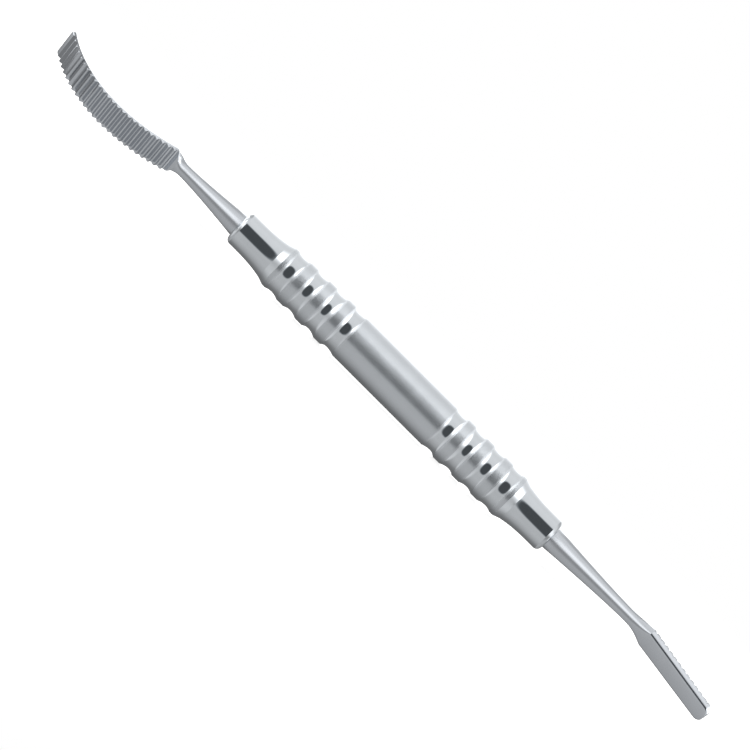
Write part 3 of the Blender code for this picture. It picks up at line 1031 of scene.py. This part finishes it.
def white_world(settings):
    """World that is white to the camera, dimmer to matt surfaces, and a room of its own to reflections.

    The room's levels follow the angle round the handle's axis. It has more light at its sides and ends,
    and in front a dark opening with rounded corners and a soft edge.
    """
    world = bpy.data.worlds.new("studio")
    bpy.context.scene.world = world
    world.use_nodes = True
    tree = world.node_tree
    tree.nodes.clear()
    path = node(tree, "ShaderNodeLightPath").outputs
    mirrored = calc(tree, "MAXIMUM", path["Is Glossy Ray"], path["Is Transmission Ray"])
    direction = node(tree, "ShaderNodeTexCoord").outputs["Generated"]
    aim = node(tree, "ShaderNodeSeparateXYZ", {0: direction}).outputs
    ahead = calc(tree, "MULTIPLY", aim["Y"], -1.0)
    # Below the horizon these levels are a painted reflection of the floor, with painted shade under and
    # behind the part
    turned, round_axis = level_round(tree, ahead, aim["Z"], ROOM_LEVELS)
    at_sides = level_round(tree, ahead, aim["Z"], SIDE_LEVELS)[1]
    sideways = calc(tree, "ABSOLUTE", aim["X"])
    beside = remap(tree, sideways, SIDES_FROM, interpolation_type="SMOOTHSTEP")
    whole = node(tree, "ShaderNodeMix", {0: beside, 2: round_axis, 3: at_sides}).outputs[0]
    at_ends = remap(tree, aim["Z"], ENDS_RISE, ENDS_LEVELS)
    beyond = remap(tree, sideways, ENDS_FROM)
    room = node(tree, "ShaderNodeMix", {0: beyond, 2: whole, 3: at_ends}).outputs[0]
    wide = calc(tree, "POWER", calc(tree, "DIVIDE", sideways, OPENING_HALF_WIDTH), OPENING_CORNERS)
    risen = calc(tree, "DIVIDE", calc(tree, "SUBTRACT", turned, OPENING_MIDDLE), OPENING_HALF_HEIGHT)
    high = calc(tree, "POWER", calc(tree, "ABSOLUTE", risen), OPENING_CORNERS)
    edge = (1.0 - OPENING_BLUR, 1.0 + OPENING_BLUR)
    outside = remap(tree, calc(tree, "ADD", wide, high), edge, interpolation_type="SMOOTHSTEP")
    seen = node(tree, "ShaderNodeMix", {0: outside, 2: settings.dark_level, 3: room}).outputs[0]
    shown = calc(tree, "MAXIMUM", path["Is Camera Ray"], calc(tree, "MULTIPLY", mirrored, seen))
    plain = calc(tree, "MULTIPLY", calc(tree, "SUBTRACT", 1.0, mirrored), settings.surround_level)
    level = calc(tree, "MAXIMUM", shown, plain)
    clear = calc(tree, "MAXIMUM", outside, calc(tree, "SUBTRACT", 1.0, mirrored))
    colour = node(tree, "ShaderNodeMix", {0: clear, 6: OPENING_TINT, 7: WHITE}, data_type="RGBA").outputs[2]
    back = node(tree, "ShaderNodeBackground", {"Color": colour, "Strength": level}).outputs[0]
    node(tree, "ShaderNodeOutputWorld", {"Surface": back})


def hang_lamp(level):
    """Soft lamp overhead, which lights the floor and isn't seen by the camera or by reflections."""
    lamp = bpy.data.lights.new("softbox", "AREA")
    lamp.shape = "RECTANGLE"
    lamp.size, lamp.size_y = LAMP_SIZE
    lamp.energy = level * math.pi * lamp.size * lamp.size_y
    hung = new_object("softbox", lamp)
    hung.location.z = LAMP_HEIGHT
    hung.visible_camera = False
    hung.visible_glossy = False


def place_camera():
    """Camera at the photograph's angle to the blades' plane, with the handle along the frame's diagonal."""
    elevation = LEAN_TO_VIEW - (math.radians(90) - (math.pi - ROLL))
    toward = Vector((0.0, -math.cos(elevation), math.sin(elevation)))
    up = Vector((0.0, math.sin(elevation), math.cos(elevation)))
    along = Vector((1.0, 0.0, 0.0))
    target = AXIS_AT + along * TARGET_ALONG - up * TARGET_DOWN
    camera = bpy.data.cameras.new("camera")
    camera.sensor_width = SENSOR_WIDTH
    camera.lens = PIXELS_AWAY / FRAME_PIXELS * SENSOR_WIDTH
    camera.clip_start = 0.01
    eye = new_object("camera", camera)
    turned = Matrix(((along + up).normalized(), (up - along).normalized(), toward)).transposed().to_4x4()
    eye.matrix_world = Matrix.Translation(target + toward * PIXELS_AWAY * PIXEL) @ turned
    bpy.context.scene.camera = eye


class BONEFILE_OT_studio(bpy.types.Operator):
    """Set the floor, the world, the lamp, the reflectors, the cards and the camera"""

    bl_idname = "bonefile.make_studio"
    bl_label = "Make studio"

    def execute(self, context):
        settings = context.scene.bone_file_studio
        lay_floor(settings)
        white_world(settings)
        hang_lamp(settings.lamp_level)
        for end, end_radius in REFLECTOR_ENDS:
            reflector(end, end_radius)
        for name, low, high, height, level, faces_down in CARDS:
            card(name, low, high, height, getattr(settings, level), faces_down)
        place_camera()
        context.scene.view_settings.view_transform = "Standard"
        return {"FINISHED"}


class BONEFILE_PT_panel(bpy.types.Panel):
    """Lists the steps and the sizes of the bone file"""

    bl_idname = "BONEFILE_PT_panel"
    bl_label = "Bone file"
    bl_space_type = "VIEW_3D"
    bl_region_type = "UI"
    bl_category = "Bone file"

    def draw(self, context):
        for operator in OPERATORS:
            self.layout.operator(operator.bl_idname)
        for name, group in SETTINGS.items():
            box = self.layout.box()
            settings = getattr(context.scene, name)
            for field in group.__annotations__:
                box.prop(settings, field)


OPERATORS = (BONEFILE_OT_handle, BONEFILE_OT_curved_file, BONEFILE_OT_straight_file, BONEFILE_OT_studio)
SETTINGS = {
    "bone_file_handle": HandleSettings,
    "bone_file_teeth": TeethSettings,
    "bone_file_studio": StudioSettings,
}
CLASSES = (*SETTINGS.values(), *OPERATORS, BONEFILE_PT_panel)


def register():
    for cls in CLASSES:
        bpy.utils.register_class(cls)
    for name, group in SETTINGS.items():
        setattr(bpy.types.Scene, name, bpy.props.PointerProperty(type=group))


def unregister():
    for name in SETTINGS:
        delattr(bpy.types.Scene, name)
    for cls in reversed(CLASSES):
        bpy.utils.unregister_class(cls)


def main():
    register()
    bpy.ops.bonefile.make_handle()
    bpy.ops.bonefile.make_curved_file()
    bpy.ops.bonefile.make_straight_file()
    bpy.ops.bonefile.make_studio()


if __name__ == "__main__":
    main()
